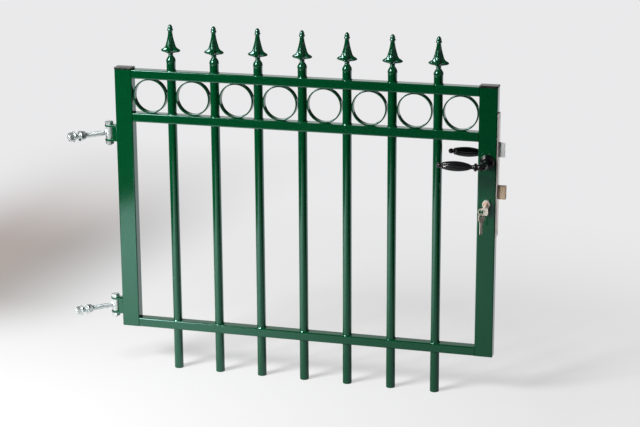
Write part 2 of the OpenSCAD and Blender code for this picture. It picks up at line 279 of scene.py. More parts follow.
class Nodes:
    """Clears the node tree of a material or world, and helps to fill it."""

    def __init__(self, owner):
        owner.use_nodes = True
        self.tree = owner.node_tree
        self.tree.nodes.clear()

    def new(self, kind, **values):
        """New node; the values go to its properties or else its inputs."""
        node = self.tree.nodes.new("ShaderNode" + kind)
        for key, value in values.items():
            if hasattr(node, key):
                setattr(node, key, value)
            else:
                node.inputs[key.replace("_", " ")].default_value = value
        return node

    def put(self, value, socket):
        """Links another socket, or sets a number or a colour."""
        if isinstance(value, bpy.types.NodeSocket):
            self.tree.links.new(value, socket)
        else:
            socket.default_value = (*value, 1) if isinstance(value, tuple) else value

    def position(self, stretch=(1, 1, 1)):
        place = self.new("TexCoord")
        scale = self.new("Mapping", Scale=stretch)
        self.put(place.outputs["Object"], scale.inputs["Vector"])
        return scale.outputs["Vector"]

    def distance(self, at, middle):
        """Distance along the floor from a middle point."""
        place = self.new("Mapping", Scale=(1, 1, 0), Location=(-middle.x, -middle.y, 0))
        self.put(at, place.inputs["Vector"])
        length = self.new("VectorMath", operation="LENGTH")
        self.put(place.outputs["Vector"], length.inputs[0])
        return length.outputs["Value"]

    def split(self, vector):
        parts = self.new("SeparateXYZ")
        self.put(vector, parts.inputs["Vector"])
        return list(parts.outputs)

    def noise(self, at, scale, detail):
        node = self.new("TexNoise", Scale=scale, Detail=detail)
        self.put(at, node.inputs["Vector"])
        return node.outputs["Fac"]

    def remap(self, value, low, high, to_low, to_high, kind="LINEAR"):
        node = self.new("MapRange", interpolation_type=kind, From_Min=low, From_Max=high,
                        To_Min=to_low, To_Max=to_high)
        self.put(value, node.inputs["Value"])
        return node.outputs["Result"]

    def math(self, operation, a, b):
        node = self.new("Math", operation=operation)
        for value, socket in zip([a, b], node.inputs):
            self.put(value, socket)
        return node.outputs["Value"]

    def times(self, a, b):
        return self.math("MULTIPLY", a, b)

    def mix(self, factor, a, b):
        """Colour a where the factor is 0, colour b where it is 1."""
        node = self.new("Mix", data_type="RGBA")
        for value, name in [(factor, "Factor"), (a, "A"), (b, "B")]:
            self.put(value, node.inputs[name])
        return node.outputs["Result"]

    def bump(self, height, depth, after=None):
        node = self.new("Bump", Distance=depth)
        self.put(height, node.inputs["Height"])
        if after is not None:
            self.put(after, node.inputs["Normal"])
        return node.outputs["Normal"]

    def shader(self, kind, colour):
        node = self.new(kind)
        self.put(colour, node.inputs["Color"])
        return node.outputs[0]

    def blend(self, factor, a, b):
        """Shader a where the factor is 0, shader b where it is 1."""
        node = self.new("MixShader")
        for value, socket in zip([factor, a, b], node.inputs):
            self.put(value, socket)
        return node.outputs["Shader"]

    def show(self, surface, kind="OutputMaterial"):
        self.put(surface, self.new(kind).inputs["Surface"])


def finish(name, colour, tint, metallic, roughness, spread, grain, blotch, fine=None,
           stretch=(1, 1, 1), specular=0.5, tint_specular=(1, 1, 1), ior=1.5, slot=None):
    """Material whose colour, gloss and surface vary: blotches of a second tint, a
    roughness that spreads about its value, and grains of a given scale and depth in MM."""
    material = bpy.data.materials.new(name + "_finish")
    material["slot"] = slot or name
    n = Nodes(material)
    along = n.position(stretch)
    cloud = n.noise(n.position(), blotch, detail=4)
    gloss = n.noise(along, grain[0] / 3, detail=3)
    surface = n.bump(n.noise(along, grain[0], detail=2), grain[1] * MM)
    if fine:
        surface = n.bump(n.noise(along, fine[0], detail=3), fine[1] * MM, after=surface)
    shader = n.new("BsdfPrincipled", Metallic=metallic, IOR=ior, Specular_IOR_Level=specular,
                   Specular_Tint=(*tint_specular, 1))
    n.put(n.mix(n.remap(cloud, 0.35, 0.65, 0, 1), colour, tint), shader.inputs["Base Color"])
    n.put(n.remap(gloss, 0.3, 0.7, roughness - spread, roughness + spread),
          shader.inputs["Roughness"])
    n.put(surface, shader.inputs["Normal"])
    n.show(shader.outputs["BSDF"])
    return material


BRUSHED = (1, 1, 0.06)         # draws a grain out along Z
GREEN = finish("green_powder_coat", (0.0008, 0.074, 0.0215), (0.001, 0.067, 0.02),
               0, 0.085, 0.02, grain=(330, 0.02), blotch=9, fine=(1400, 0.002),
               specular=1.0, tint_specular=(0.61, 1.0, 0.97), ior=1.6)
BLACK = finish("black_enamel", (0.008, 0.008, 0.010), (0.013, 0.013, 0.015),
               0, 0.14, 0.04, grain=(260, 0.02), blotch=60, specular=0.7)
PLASTIC = finish("black_plastic", (0.018, 0.015, 0.015), (0.026, 0.022, 0.021),
                 0, 0.26, 0.06, grain=(900, 0.012), blotch=90, specular=0.6)
ZINC = finish("zinc_plated_steel", (0.80, 0.86, 0.87), (0.90, 0.95, 0.94),
              0.6, 0.40, 0.08, grain=(500, 0.008), blotch=160)
FASTENER = finish("bright_zinc", (0.80, 0.86, 0.87), (0.92, 0.97, 0.96),
                  0.72, 0.3, 0.02, grain=(500, 0.008), blotch=160, slot="zinc_plated_steel")
NICKEL = finish("nickel_plated_steel", (0.94, 0.98, 0.95), (0.98, 1.0, 0.98),
                0.2, 0.42, 0.08, grain=(700, 0.008), blotch=40, stretch=BRUSHED)
PLATE = finish("nickel_face_plate", (0.84, 0.76, 0.73), (0.90, 0.83, 0.80),
               0.7, 0.36, 0.08, grain=(700, 0.008), blotch=40, stretch=BRUSHED,
               slot="nickel_plated_steel")
BRASS = finish("bolt_brass", (1.0, 0.70, 0.46), (1.0, 0.78, 0.56),
               0.15, 0.46, 0.08, grain=(700, 0.008), blotch=60, stretch=(0.06, 1, 1))
CYLINDER = finish("cylinder_nickel", (1.0, 0.93, 0.82), (1.0, 0.98, 0.90),
                  0.3, 0.36, 0.07, grain=(900, 0.006), blotch=200)
PLUG = finish("plug_brass", (0.86, 0.56, 0.44), (0.95, 0.72, 0.58),
              0.4, 0.36, 0.08, grain=(900, 0.008), blotch=260)
KEY = finish("key_nickel", (1.0, 0.93, 0.82), (1.0, 0.84, 0.72),
             0.3, 0.36, 0.08, grain=(800, 0.008), blotch=260)


# ---- welded frame

def frame_tubes():
    for node in STILES + RAILS:
        part = tube(*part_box(node), "x" if node in RAILS else "z")
        Shape().add(part).piece(node + "_tube", GREEN, "leaf", [node])


def round_bars():
    """Bars with a broken foot edge and a shallow recess where the tube's end is plugged."""
    wall, edge = 1.6 * MM, 0.4 * MM
    for node in BARS:
        low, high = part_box(node)
        r, h = (high.x - low.x) / 2, high.z - low.z
        inner = r - wall
        profile = [(1 * MM, 2.5 * MM), (inner - edge, 2.5 * MM), (inner, 2.2 * MM),
                   (inner, edge), (inner + edge, 0), (r - edge, 0), (r, edge), (r, 2 * edge),
                   (r, h / 3), (r, 2 * h / 3), (r, h - 2 * edge), (r, h)]
        part = lathe(profile, 72)
        Shape().add(part, standing(node)).piece("round_" + node, GREEN, "leaf", [node])


def ripple(angle, seed):
    """Uneven height of a hand-laid weld bead, about one."""
    return (1 + 0.16 * math.sin(7 * angle + seed) + 0.12 * math.sin(12 * angle + 2.3 * seed)
            + 0.07 * math.sin(23 * angle + 3.1 * seed))


def bar_weld(bar_r, rail_half, leg, seed):
    """Fillet of weld around a bar where it leaves a rail's face at z = 0, upwards.
    It keeps off the rail's corner and follows the rounding before it."""
    sink = 0.5 * MM
    widest = rail_half - 0.6 * MM

    def section(angle):
        up = leg * ripple(angle, seed + 2)
        across = abs(math.sin(angle))
        reach = bar_r + leg * ripple(angle, seed)
        if reach * across > widest:
            reach = widest / across
        over = max(0.0, reach * across - (rail_half - TUBE_R))
        drop = TUBE_R - math.sqrt(TUBE_R ** 2 - min(over, TUBE_R) ** 2)
        rows = [(bar_r - sink, -drop - sink), (reach, -drop - sink), (reach, -drop + 0.05 * MM),
                (bar_r + 0.62 * (reach - bar_r), 0.26 * up - 0.3 * drop),
                (bar_r + 0.28 * (reach - bar_r), 0.62 * up), (bar_r, up), (bar_r - sink, up)]
        return [polar(r, angle, z) for r, z in rows]

    return skin(around(section, 72), closed=True)


def bead(length, r, seed):
    """Straight weld bead along Z about zero, lumpy as stacked drops."""
    steps = max(8, int(length / (0.8 * MM)))
    loops = []
    for k in range(steps + 1):
        t = k / steps
        drops = 1 + 0.12 * abs(math.sin(math.pi * t * length / (3 * MM) + seed))
        rr = r * drops * min(1, 0.25 + 6 * min(t, 1 - t)) * (1 + 0.06 * math.sin(9 * t + seed))
        loops.append(around(lambda angle: polar(rr, angle, (t - 0.5) * length), 14))
    return skin(loops)


def frame_welds():
    """Beads around the bars at each rail, and in the corners between rails and stiles."""
    bar_r = size(BARS[0]).x / 2
    depth = STILE_HIGH.y - STILE_LOW.y
    for rail in RAILS:
        low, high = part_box(rail)
        shape = Shape()
        for k, node in enumerate(BARS):
            x = centre(node).x
            seed = 1.7 * k + 10 * high.z
            shape.add(bar_weld(bar_r, depth / 2, 1.9 * MM, seed), to(x, MID_Y, high.z))
            under = to(x, MID_Y, low.z) @ turn(180, "X")
            shape.add(bar_weld(bar_r, depth / 2, 1.3 * MM, seed + 5), under)
        for k, x in enumerate([low.x + 0.3 * MM, high.x - 0.3 * MM]):
            for z in [low.z] if rail == "top_rail" else [low.z, high.z]:
                shape.add(bead(depth - 5 * MM, 1.5 * MM, k + 50 * z), to(x, MID_Y, z) @ ALONG_Y)
        shape.piece(rail + "_welds", GREEN, "leaf", sharp=60)


def frieze_rings():
    """Flat bar rolled into rings, edges broken, tacked to the rails above and below."""
    low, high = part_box("rings")
    y, depth = (low.y + high.y) / 2, high.y - low.y
    wall = 3 * MM
    middle_r = (high.z - low.z) / 2 - wall / 2
    section = rounded_rect(wall, depth, 0.6 * MM, steps=3, margin=0.2 * MM)
    ring = skin(around(lambda angle: about_y(section, middle_r, angle), 120), closed=True)
    bar_r = size(BARS[0]).x / 2
    bars = [centre(node).x for node in BARS]
    starts = [STILE_HIGH.x] + [x + bar_r for x in bars]
    ends = [x - bar_r for x in bars] + [LOCK_LOW.x]
    rings, tacks = Shape(), Shape()
    for k, (start, end) in enumerate(zip(starts, ends)):
        x = (start + end) / 2
        rings.add(ring, to(x, y, (low.z + high.z) / 2))
        for j, z in enumerate([low.z + 0.35 * MM, high.z - 0.35 * MM]):
            for side in (-1, 1):
                spot = to(x + side * 4.5 * MM, y, z)
                tacks.add(bead(depth * 0.8, 0.9 * MM, 3.0 * k + j + side), spot @ ALONG_Y)
    rings.piece("frieze_rings", GREEN, "leaf", ["rings"])
    tacks.piece("ring_tacks", GREEN, "leaf", sharp=60)


def stile_caps():
    """Moulded caps: a crowned top with a soft edge over each stile."""
    for node in ["hinge_stile_cap", "lock_stile_cap"]:
        span = size(node)
        top = span.z / MM
        loops = []
        for z, inset in [(0, 0.3), (0.3, 0), (0.6, 0), (top - 1.3, 0), (top - 1.0, 0.04),
                         (top - 0.6, 0.2), (top - 0.3, 0.55), (top - 0.12, 1.1),
                         (top - 0.06, 2.0), (top, 3.2)]:
            outline = rounded_rect(span.x - 2 * inset * MM, span.y - 2 * inset * MM,
                                   max(3.3 * MM - inset * MM, 0.8 * MM))
            loops.append([(x, y, z * MM) for x, y in outline])
        Shape().add(skin(loops), standing(node)).piece("moulded_" + node, PLASTIC, "leaf", [node])


# ---- finials

def finial_mesh(bar_r, reach, height):
    """Cast spear top. Two outlines, over a petal and in the valley between two,
    are blended round the axis, and fine veins run down over the petals."""
    u = height / (86 * MM)     # outlines are drawn for a height of 86
    foot_r, tip_r = bar_r / MM, reach / MM
    shared_foot = [(foot_r - 2, 0), (foot_r, 0), (foot_r, 0.6), (foot_r, 2.6),
                   (foot_r + 0.7, 3.4), (foot_r + 0.8, 4.4), (foot_r + 0.5, 6.2),
                   (foot_r + 0.1, 8.2), (9.2, 10.6), (7.9, 12.6), (7.0, 14.2), (5.9, 15.8),
                   (5.2, 17.0), (5.1, 18.4), (5.7, 19.4), (5.7, 20.4), (5.1, 21.4)]
    petal = [(5.6, 22.7), (8.8, 23.3), (12.4, 23.8), (tip_r - 5.4, 24.5),
             (tip_r - 2.4, 25.4), (tip_r - 0.5, 26.8), (tip_r, 28.3), (tip_r - 0.5, 29.9),
             (tip_r - 2.8, 31.8), (14.4, 34.2), (11.9, 37.2), (10.2, 41.2), (8.9, 45.8),
             (7.5, 50.4), (6.2, 56.4), (5.5, 62.6)]
    valley = [(5.2, 23.4), (6.2, 24.8), (7.2, 26.2), (8.2, 27.4),
              (9.0, 28.5), (9.6, 29.6), (10.0, 30.6), (10.2, 31.8),
              (9.5, 33.4), (8.8, 35.6), (8.1, 38.6), (7.5, 42.2), (6.9, 46.2),
              (6.1, 50.8), (5.4, 56.6), (5.0, 62.6)]
    shared_top = [(4.9, 67.6), (4.8, 70.6), (5.4, 71.9), (6.3, 73.0), (6.5, 74.2), (6.0, 75.6),
                  (5.4, 76.8), (5.4, 78.4), (4.9, 80.6), (3.9, 83.0), (2.6, 84.9), (1.3, 85.8),
                  (0.3, 86.0)]
    over = smooth_path(shared_foot + petal + shared_top, 3)
    between = smooth_path(shared_foot + valley + shared_top, 3)
    loops = []
    for (pr, pz), (vr, vz) in zip(over, between):
        veined = min(1.0, max(0.0, pz - 24.5) / 3) * min(1.0, max(0.0, 66 - pz) / 12)

        def point(angle):
            lobe = (0.5 + 0.5 * math.cos(4 * angle)) ** 0.62
            off_rib = (angle + TAU / 8) % (TAU / 4) - TAU / 8
            rib = 0.6 * math.exp(-(off_rib / 0.11) ** 2) + 0.3 * math.cos(16 * angle)
            r = vr + (pr - vr) * lobe + rib * veined
            z = vz + (pz - vz) * lobe
            return polar(r * MM, angle, z * u * MM)

        loops.append(around(point, 128))
    return skin(loops)


def finials():
    for bar in BARS:
        node = "finial_" + bar.split("_")[1]
        low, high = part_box(node)
        part = finial_mesh(size(bar).x / 2, (high.x - low.x) / 2, high.z - low.z)
        Shape().add(part, standing(node)).piece("cast_" + node, GREEN, "leaf", [node], sharp=50)


# ---- hinges

JOINTS = {joint["name"]: joint for joint in frame["joints"]}
PIN = Vector(JOINTS["gate_swing"]["pos_m"])
ROD = Vector(frame["record"]["mounts"][0]["axis"]).normalized()
PIN_D, PIN_AF, PIN_HEAD_T = 10 * MM, 17 * MM, 8 * MM
ROD_D, ROD_AF, ROD_NUT_T, ROD_LEN = 12 * MM, 18 * MM, 10 * MM, 100 * MM
WASHER_D, WASHER_T = 24 * MM, 2.5 * MM
EYE_D, EYE_H = 17 * MM, 28 * MM
LUG_T, WEB_T, WEB_SET_BACK = 4 * MM, 10 * MM, 0.1 * MM
BRACKETS = ["lower_hinge_bracket", "upper_hinge_bracket"]
HINGE_Z = [centre(node).z for node in BRACKETS]


def facing(at, direction, spin=Z):
    """Matrix that puts a shape's Z axis along the direction and its X towards spin."""
    z = direction.normalized()
    x = (spin - z * spin.dot(z)).normalized()
    return Matrix.Translation(at) @ Matrix((x, z.cross(x), z)).transposed().to_4x4()


def loose_parts(node):
    """Middle points of a CAD node's separate solids."""
    bm = bmesh.new()
    bm.from_mesh(frame["nodes"][node].data)
    bmesh.ops.remove_doubles(bm, verts=bm.verts, dist=0.001 * MM)
    left = set(bm.verts)
    middles = []
    while left:
        stack = [left.pop()]
        points = []
        while stack:
            vert = stack.pop()
            points.append(vert.co.copy())
            near = {e.other_vert(vert) for e in vert.link_edges} & left
            left -= near
            stack += near
        box = np.array(points)
        middles.append(Vector((box.min(0) + box.max(0)) / 2))
    bm.free()
    return sorted(middles, key=lambda p: (round(p.z, 3), p.x))


def hexagon(across, thick, bore, head=False):
    """Nut whose corners are turned off in a shallow cone at both ends. A bolt's head
    has no bore at its top, and its corners are turned off there only."""
    turned = 0.475 * across
    edge = 0.9 * MM

    def section(angle):
        corner = across / 2 / math.cos((angle % (TAU / 6)) - TAU / 12)
        cut = 0.55 * (corner - turned)
        rows = [(corner, thick - cut), (turned, thick)]
        if head:
            rows = [(bore, 0), (corner, 0)] + rows
            rows += [(0.55 * across / 2, thick), (0.2 * across / 2, thick)]
        else:
            rows = [(turned, 0), (corner, cut)] + rows
            rows += [(bore + edge, thick), (bore, thick - edge), (bore, edge), (bore + edge, 0)]
        return [polar(r, angle, z) for r, z in rows]

    return skin(list(zip(*around(section, 72))), closed=not head)


def thread(r, pitch, start, end):
    """Threaded shaft along Z: crest and root lines wind round it, with chamfered ends."""
    root, steps = r - 0.6 * pitch, 36
    loops = []
    for winding in range(int((end - start) / pitch) + 2):
        for offset, radius in [(0.0, root), (0.14, root), (0.46, r), (0.58, r)]:
            loop = []
            for k in range(steps):
                along = start + (winding - 1 + offset + k / steps) * pitch
                z = min(max(along, start), end)
                rr = min(radius, root + 0.9 * min(z - start, end - z) + 0.05 * MM)
                loop.append(polar(rr, TAU * k / steps, z))
            loops.append(loop)
    return skin(loops)


def d_plate(length, width, thick, edge):
    """Lug: a plate from x = 0 to a round end about an axis at x = -length."""
    loops = []
    rim = [(edge, 0), (0.3 * edge, 0.3 * edge), (0, edge), (0, 2 * edge)]
    for inset, z in and_back(rim, thick):
        r = width / 2 - inset
        loop = [(0, -r, z), (-length / 2, -r, z)]
        for k in range(33):
            angle = math.pi * k / 32
            loop.append((-length - r * math.sin(angle), -r * math.cos(angle), z))
        loop += [(-length / 2, r, z), (0, r, z)]
        loops.append(loop[::-1])
    return skin(loops)


def hinge_brackets():
    """Clevises: a web welded to the stile, and two lugs that hold the pin."""
    foot_x = STILE_LOW.x
    inset = 0.2 * MM
    for node in BRACKETS:
        low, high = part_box(node)
        middle = (low + high) / 2
        width, height = high.y - low.y, high.z - low.z
        shape = Shape()
        for z in [low.z, high.z - LUG_T]:
            lug = d_plate(foot_x - PIN.x, width, LUG_T, 0.6 * MM)
            shape.add(lug, to(foot_x, middle.y, z))
        web_low = Vector((foot_x - WEB_T, low.y + WEB_SET_BACK, low.z + inset))
        web_high = Vector((foot_x + inset, high.y - WEB_SET_BACK, high.z - inset))
        shape.add(tube(web_low, web_high, "z", r=0.8 * MM))
        shape.piece("welded_" + node, GREEN, "leaf", [node])
        welds = Shape()
        web_half = width / 2 - WEB_SET_BACK
        for side in (-1, 1):
            upright = to(foot_x, middle.y + side * web_half, middle.z)
            welds.add(bead(height - 2 * LUG_T, 1.6 * MM, 3 * side + middle.z), upright)
            across = to(foot_x, middle.y, middle.z + side * height / 2) @ ALONG_Y
            welds.add(bead(width - 1 * MM, 1.6 * MM, side + middle.z), across)
            for z in [low.z + LUG_T, high.z - LUG_T]:
                inner = to(foot_x - WEB_T, middle.y, z) @ ALONG_Y
                welds.add(bead(2 * web_half, 1.0 * MM, side + z), inner)
        welds.piece(node + "_welds", GREEN, "leaf", sharp=60)


def hinge_pins():
    """Hexagon bolts, heads up, with locknuts below the lower lugs."""
    low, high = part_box(BRACKETS[0])
    half = (high.z - low.z) / 2
    r, flange_r, flange_t = PIN_D / 2, 0.46 * PIN_AF, 0.35 * MM
    under_head = 0.3 * MM
    head = hexagon(PIN_AF, PIN_HEAD_T - under_head, r, head=True)
    flange = lathe([(r, 0), (flange_r, 0), (flange_r, flange_t), (r, flange_t)], 72, closed=True)
    shank = lathe([(r - 1 * MM, -half - 0.5 * MM), (r, -half), (r, 0), (r, half + 1 * MM),
                   (r - 1 * MM, half + 1.5 * MM)], 48)
    tail = thread(r, 1.5 * MM, -(half + PIN_HEAD_T + 3 * MM), -half + 0.5 * MM)
    nut = hexagon(PIN_AF, PIN_HEAD_T, r - 0.4 * MM)
    pins, nuts = Shape(), Shape()
    for z in HINGE_Z:
        middle = to(PIN.x, PIN.y, z)
        for part, up in [(head, half + under_head), (flange, half), (shank, 0), (tail, 0)]:
            pins.add(part, middle @ to(0, 0, up))
        nuts.add(nut, middle @ to(0, 0, -half - PIN_HEAD_T))
    pins.piece("hinge_bolts", FASTENER, "leaf", ["hinge_pins"], sharp=30)
    nuts.piece("hinge_bolt_nuts", FASTENER, "leaf", ["hinge_pin_nuts"], sharp=30)


def eyebolts():
    """Threaded rods with a pipe-shaped eye welded on the end."""
    edge, half = 0.7 * MM, EYE_H / 2
    outer, bore, rod_r = EYE_D / 2, PIN_D / 2 + 0.05 * MM, ROD_D / 2
    eye = and_back([(bore, edge - half), (bore + edge, -half), (outer - edge, -half),
                    (outer, edge - half), (outer, 2 * edge - half)])
    eye.insert(5, (outer, 0))
    plain = [(rod_r - 1.2 * MM, bore + 1 * MM), (rod_r - 1.2 * MM, outer + 3 * MM)]
    for node, z in zip(["lower_eyebolt", "upper_eyebolt"], HINGE_Z):

        def weld(angle):
            fat = 2.3 * MM * ripple(angle, 3 * z)
            dip = outer - math.sqrt(max(0, outer ** 2 - (rod_r * math.sin(angle)) ** 2))
            base = outer - 0.3 * MM - dip
            r = rod_r - 0.6 * MM
            rows = [(r, base - 1 * MM), (r + fat, base - 0.6 * MM),
                    (r + 0.9 * fat, base + 0.5 * MM), (r + 0.5 * fat, base + 0.75 * fat),
                    (r, base + 1.2 * fat)]
            return [polar(a, angle, b) for a, b in rows]

        along = facing(Vector((PIN.x, PIN.y, z)), ROD)
        shape = Shape().add(lathe(eye, 80, closed=True), to(PIN.x, PIN.y, z))
        shape.add(thread(rod_r, 1.75 * MM, outer + 1 * MM, ROD_LEN), along)
        shape.add(lathe(plain, 36), along)
        shape.add(skin(around(weld, 64), closed=True), along)
        shape.piece("threaded_" + node, ZINC, "post_hardware", [node], sharp=35)


def rod_fittings():
    """Pairs of nuts and washers that clamp the post's wall."""
    edge = 0.35 * MM
    outer, bore = WASHER_D / 2, ROD_D / 2 + 0.1 * MM
    rim = [(bore, edge), (bore + edge, 0), (outer - edge, 0), (outer, edge)]
    washer = lathe(and_back(rim, WASHER_T), 80, closed=True)
    nut = hexagon(ROD_AF, ROD_NUT_T, ROD_D / 2 - 0.5 * MM)
    for kind, part, thick in [("nuts", nut, ROD_NUT_T), ("washers", washer, WASHER_T)]:
        shape = Shape()
        for middle in loose_parts("rod_" + kind):
            shape.add(part, facing(middle - ROD * thick / 2, ROD))
        shape.piece("clamp_" + kind, FASTENER, "post_hardware", ["rod_" + kind], sharp=30)


# ---- lock

SPINDLE = Vector(JOINTS["lever_turn"]["pos_m"])
CYL = Vector(JOINTS["key_turn"]["pos_m"])
CYL_R, CYL_WEB, CYL_H = 8.5 * MM, 10 * MM, 33 * MM
PLUG_R, PLUG_L = 6.5 * MM, 14 * MM
KEY_T, KEY_W, BOW_W, BOW_L, BOW_RIM = 2.2 * MM, 8 * MM, 16 * MM, 20 * MM, 2.5 * MM
BOW_HOLE = BOW_L - 2 * BOW_RIM
KEY_TURNED = 45                # degrees, about Y
NECK_R, GRIP_R, BALL_R, FLUTES = 7.5 * MM, 10.8 * MM, 5.8 * MM, 12


def profile_outline(gap=0.0):
    """Outline of a profile cylinder in X and Z about the plug's axis, anticlockwise."""
    r, half = CYL_R + gap, CYL_WEB / 2 + gap
    drop = CYL_H - CYL_R - CYL_WEB / 2
    join = math.asin(half / r)
    top = -r * math.cos(join)
    quarters = (0.25, 0.5, 0.75)
    points = arc(r, -math.pi / 2 + join, 1.5 * math.pi - join, 48)
    points += [(-half, top + (-drop - top) * t) for t in quarters]
    points += arc(half, math.pi, TAU, 24, drop)
    points += [(half, top + (-drop - top) * t) for t in reversed(quarters)]
    return points


def level(points, y):
    return [(x, y, z) for x, z in points]


def on_circle(points, r):
    """The same number of points, moved to a circle at their own angles."""
    return [(r * x / math.hypot(x, z), r * z / math.hypot(x, z)) for x, z in points]


def slot_outline(w, h, angles, turned):
    """Rectangle w by h about zero, sampled at the given angles and turned about Y."""
    points = []
    for angle in angles:
        a = angle + turned
        c, s = math.cos(a), math.sin(a)
        reach = min(w / 2 / max(abs(c), 1e-9), h / 2 / max(abs(s), 1e-9))
        x, z = reach * c, reach * s
        points.append((x * math.cos(turned) + z * math.sin(turned),
                       -x * math.sin(turned) + z * math.cos(turned)))
    return points


def cut_out(piece, cutters):
    """Take closed solids away from a piece, exactly, and keep the result as its mesh."""
    others = []
    for verts, faces in cutters:
        mesh = new_mesh("cutter", verts, faces)
        bm = bmesh.new()
        bm.from_mesh(mesh)
        bmesh.ops.recalc_face_normals(bm, faces=bm.faces)
        bm.to_mesh(mesh)
        bm.free()
        others.append(new_object("cutter", mesh))
        modifier = piece.modifiers.new("cut", "BOOLEAN")
        modifier.operation = "DIFFERENCE"
        modifier.solver = "EXACT"
        modifier.object = others[-1]
    bpy.context.view_layer.update()
    result = bpy.data.meshes.new_from_object(piece.evaluated_get(
        bpy.context.evaluated_depsgraph_get()))
    piece.modifiers.clear()
    piece.data = result
    result.set_sharp_from_angle(angle=math.radians(40))
    for other in others:
        bpy.data.objects.remove(other)


def lock_stile_cuts():
    """Pocket and holes of the lock stile, so that the bolts and the spindle move freely."""
    low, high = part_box("lock_case")
    gap, past, spindle_r = 0.5 * MM, 5 * MM, 9 * MM
    front, back = LOCK_LOW.y - past, LOCK_HIGH.y + past
    ring = around(lambda a: (spindle_r * math.cos(a), spindle_r * math.sin(a)), 64)
    cuts = [tube(low - Vector((gap, gap, gap)), high + Vector((past, gap, gap)), "z",
                 r=0.3 * MM, edge=0.1 * MM)]
    for outline, at in [(ring, SPINDLE), (profile_outline(gap), CYL)]:
        verts, faces = skin([level(outline, front), level(outline, back)])
        cuts.append(([Vector(v) + Vector((at.x, 0, at.z)) for v in verts], faces))
    return cuts


def lock_cylinder():
    """Profile cylinder with a turned front and a seat for the plug. At its back a plug
    of one piece with it shows a keyway."""
    low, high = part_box("lock_cylinder")
    edge, lip = 0.4 * MM, 0.3 * MM
    front, back = low.y, high.y
    bore = PLUG_R + 0.05 * MM
    outline = profile_outline()
    inset = profile_outline(-edge)
    slot = slot_outline(KEY_T, KEY_W, [math.atan2(z, x) for x, z in outline], 0)

    def ring(r, y):
        return level(on_circle(outline, r), y)

    loops = [
        ring(bore, front + PLUG_L + lip), ring(bore, front + lip), ring(bore + lip, front),
        level(inset, front), level(outline, front + edge), level(outline, front + 2 * edge),
        level(outline, back - 2 * edge), level(outline, back - edge), level(inset, back),
        ring(bore + lip, back), ring(bore, back - 0.5 * MM),
        ring(PLUG_R - 0.2 * MM, back - 0.5 * MM), ring(PLUG_R - 0.4 * MM, back - 0.1 * MM),
        level(slot, back - 0.1 * MM), level(slot, back - 4 * MM)
    ]
    shape = Shape().add(skin(loops), to(CYL.x, 0, CYL.z))
    shape.piece("profile_cylinder", CYLINDER, "leaf", ["lock_cylinder"], sharp=30)


def cylinder_plug():
    angles = around(lambda a: a, 96)
    slot = slot_outline(KEY_T + 0.2 * MM, KEY_W + 0.2 * MM, angles, math.radians(KEY_TURNED))

    def ring(r, y):
        return level([(r * math.cos(a), r * math.sin(a)) for a in angles], y)

    loops = [level(slot, 8 * MM), level(slot, 0.3 * MM),
             level([(x * 1.06, z * 1.06) for x, z in slot], 0), ring(PLUG_R * 0.8, 0)]
    for y, inset in [(0.1, 0.2), (0.35, 0), (0.7, 0), (PLUG_L / MM - 0.3, 0),
                     (PLUG_L / MM, 0.3)]:
        loops.append(ring(PLUG_R - inset * MM, y * MM))
    shape = Shape().add(skin(loops), to(CYL.x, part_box("cylinder_plug")[0].y, CYL.z))
    shape.piece("key_plug", PLUG, "key", ["cylinder_plug"], sharp=30)


def stadium(w, length):
    """Outline with round ends, long way along Z, as (x, z) points."""
    r = w / 2
    half = length / 2 - r
    return arc(r, 0, math.pi, 24, -half) + arc(r, math.pi, TAU, 24, half)


def key_bow(shape, place, hole_l):
    """Flat bow in XZ about zero, its edges rounded, with a hole from its far end on."""
    half, edge = KEY_T / 2, 0.35 * MM
    hole_w = min(BOW_W - 2 * BOW_RIM, hole_l)
    shift = (BOW_HOLE - hole_l) / 2

    def rim(grow, y):
        return level(stadium(BOW_W + 2 * grow, BOW_L + 2 * grow), y)

    def hole(grow, y):
        outline = stadium(hole_w + 2 * grow, hole_l + 2 * grow + 0.01 * MM)
        return level([(x, z + shift) for x, z in outline], y)

    rounding = [(0, half - edge), (0.3 * edge, half - 0.3 * edge), (edge, half)]
    loops = [rim(-inset, y) for inset, y in rounding]
    loops += [hole(inset, y) for inset, y in rounding[::-1]]
    loops += [hole(inset, -y) for inset, y in rounding]
    loops += [rim(-inset, -y) for inset, y in rounding[::-1]]
    shape.add(skin(loops, closed=True), place)


def key_blade(shape, place, length, cuts, start):
    """Blade downwards from z = 0 with a groove on each side and cuts in one edge."""
    half, side = KEY_T / 2, KEY_W / 2
    stations = [(0.0, 0.0), (start, 0.0)]
    for k, cut in enumerate(cuts):
        z = start + (k + 0.5) * (length - start) / (len(cuts) + 0.6)
        stations += [(z - 0.9 * MM, 0.0 if k == 0 else 0.35 * cut), (z - 0.3 * MM, cut),
                     (z + 0.3 * MM, cut)]
    stations += [(length - 2.2 * MM, 0.3 * MM), (length - 1.0 * MM, 0.9 * MM),
                 (length, 2.6 * MM)]
    groove = [-0.55 * side, -0.45 * side, -0.12 * side, -0.02 * side]
    loops = []
    for z, cut in stations:
        near_tip = max(0.0, 1 - (length - z) / (1.5 * MM))
        left, right = -side + 2.4 * MM * near_tip, side - cut
        deep = 0.5 * MM if z > 1.5 * MM else 0
        grooved = list(zip(groove, [half, half - deep, half - deep, half]))
        front = [(left + 0.25 * MM, -half)] + [(x, -y) for x, y in grooved]
        front += [(right - 0.2 * MM, -half), (right, -half + 0.2 * MM)]
        rear = [(right, half - 0.2 * MM), (right - 0.2 * MM, half)] + grooved[::-1]
        rear += [(left + 0.25 * MM, half), (left, half - 0.25 * MM), (left, -half + 0.25 * MM)]
        loops.append([(x, y, -z) for x, y in front + rear])
    shape.add(skin(loops), place)


